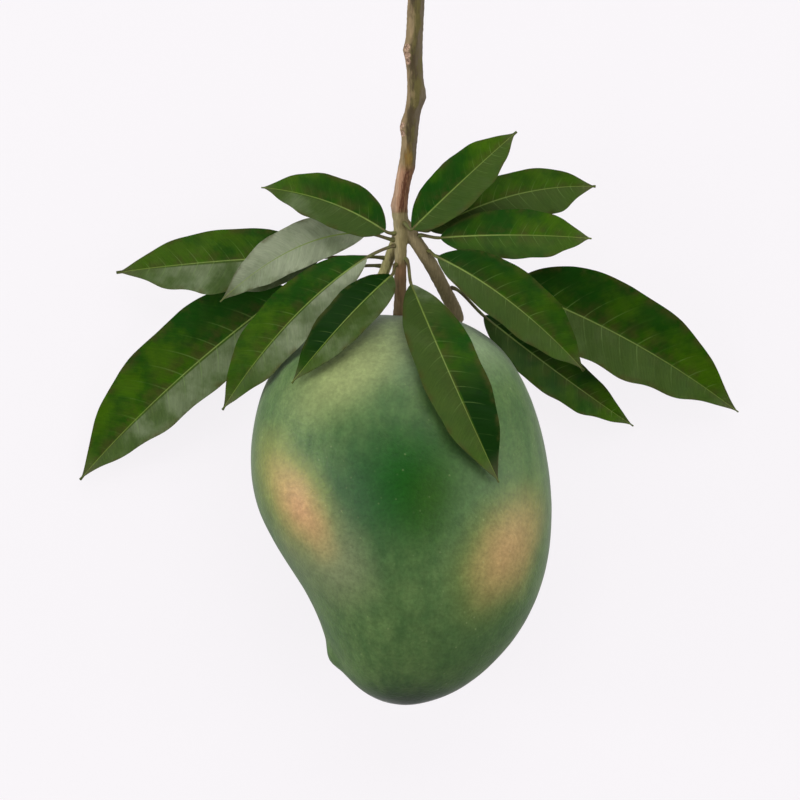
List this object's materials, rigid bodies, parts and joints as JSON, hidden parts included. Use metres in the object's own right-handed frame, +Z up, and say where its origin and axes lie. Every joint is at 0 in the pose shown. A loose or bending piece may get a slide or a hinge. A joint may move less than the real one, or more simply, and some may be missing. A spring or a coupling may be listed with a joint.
{
  "type": "mango",
  "caption": "Green mango with a blush, lying on its cheek as picked, with its stalk, the cut end of its twig and a whorl of wavy leaves.",
  "frame": {"origin": "middle of the small flat spot on the lower cheek that the fruit rests on", "axes": "+Z up from the surface it lies on, +Y from the fruit to its stalk and twig, +X to the fruit's back"},
  "size_m": [0.2584, 0.2709, 0.0961],
  "materials": {
    "skin": "waxy green fruit skin with peach blushes and pale pores",
    "bark": "matt olive-brown bark",
    "foliage": "leathery dark green leaf with a pale midrib"
  },
  "bodies": {
    "root": {"fruit": "skin", "twig": "bark", "leaf_01": "foliage", "leaf_02": "foliage", "leaf_03": "foliage", "leaf_04": "foliage", "leaf_05": "foliage", "leaf_06": "foliage", "leaf_07": "foliage", "leaf_08": "foliage", "leaf_09": "foliage", "leaf_10": "foliage", "leaf_11": "foliage", "leaf_12": "foliage", "leaf_13": "foliage"}
  },
  "joints": []
}
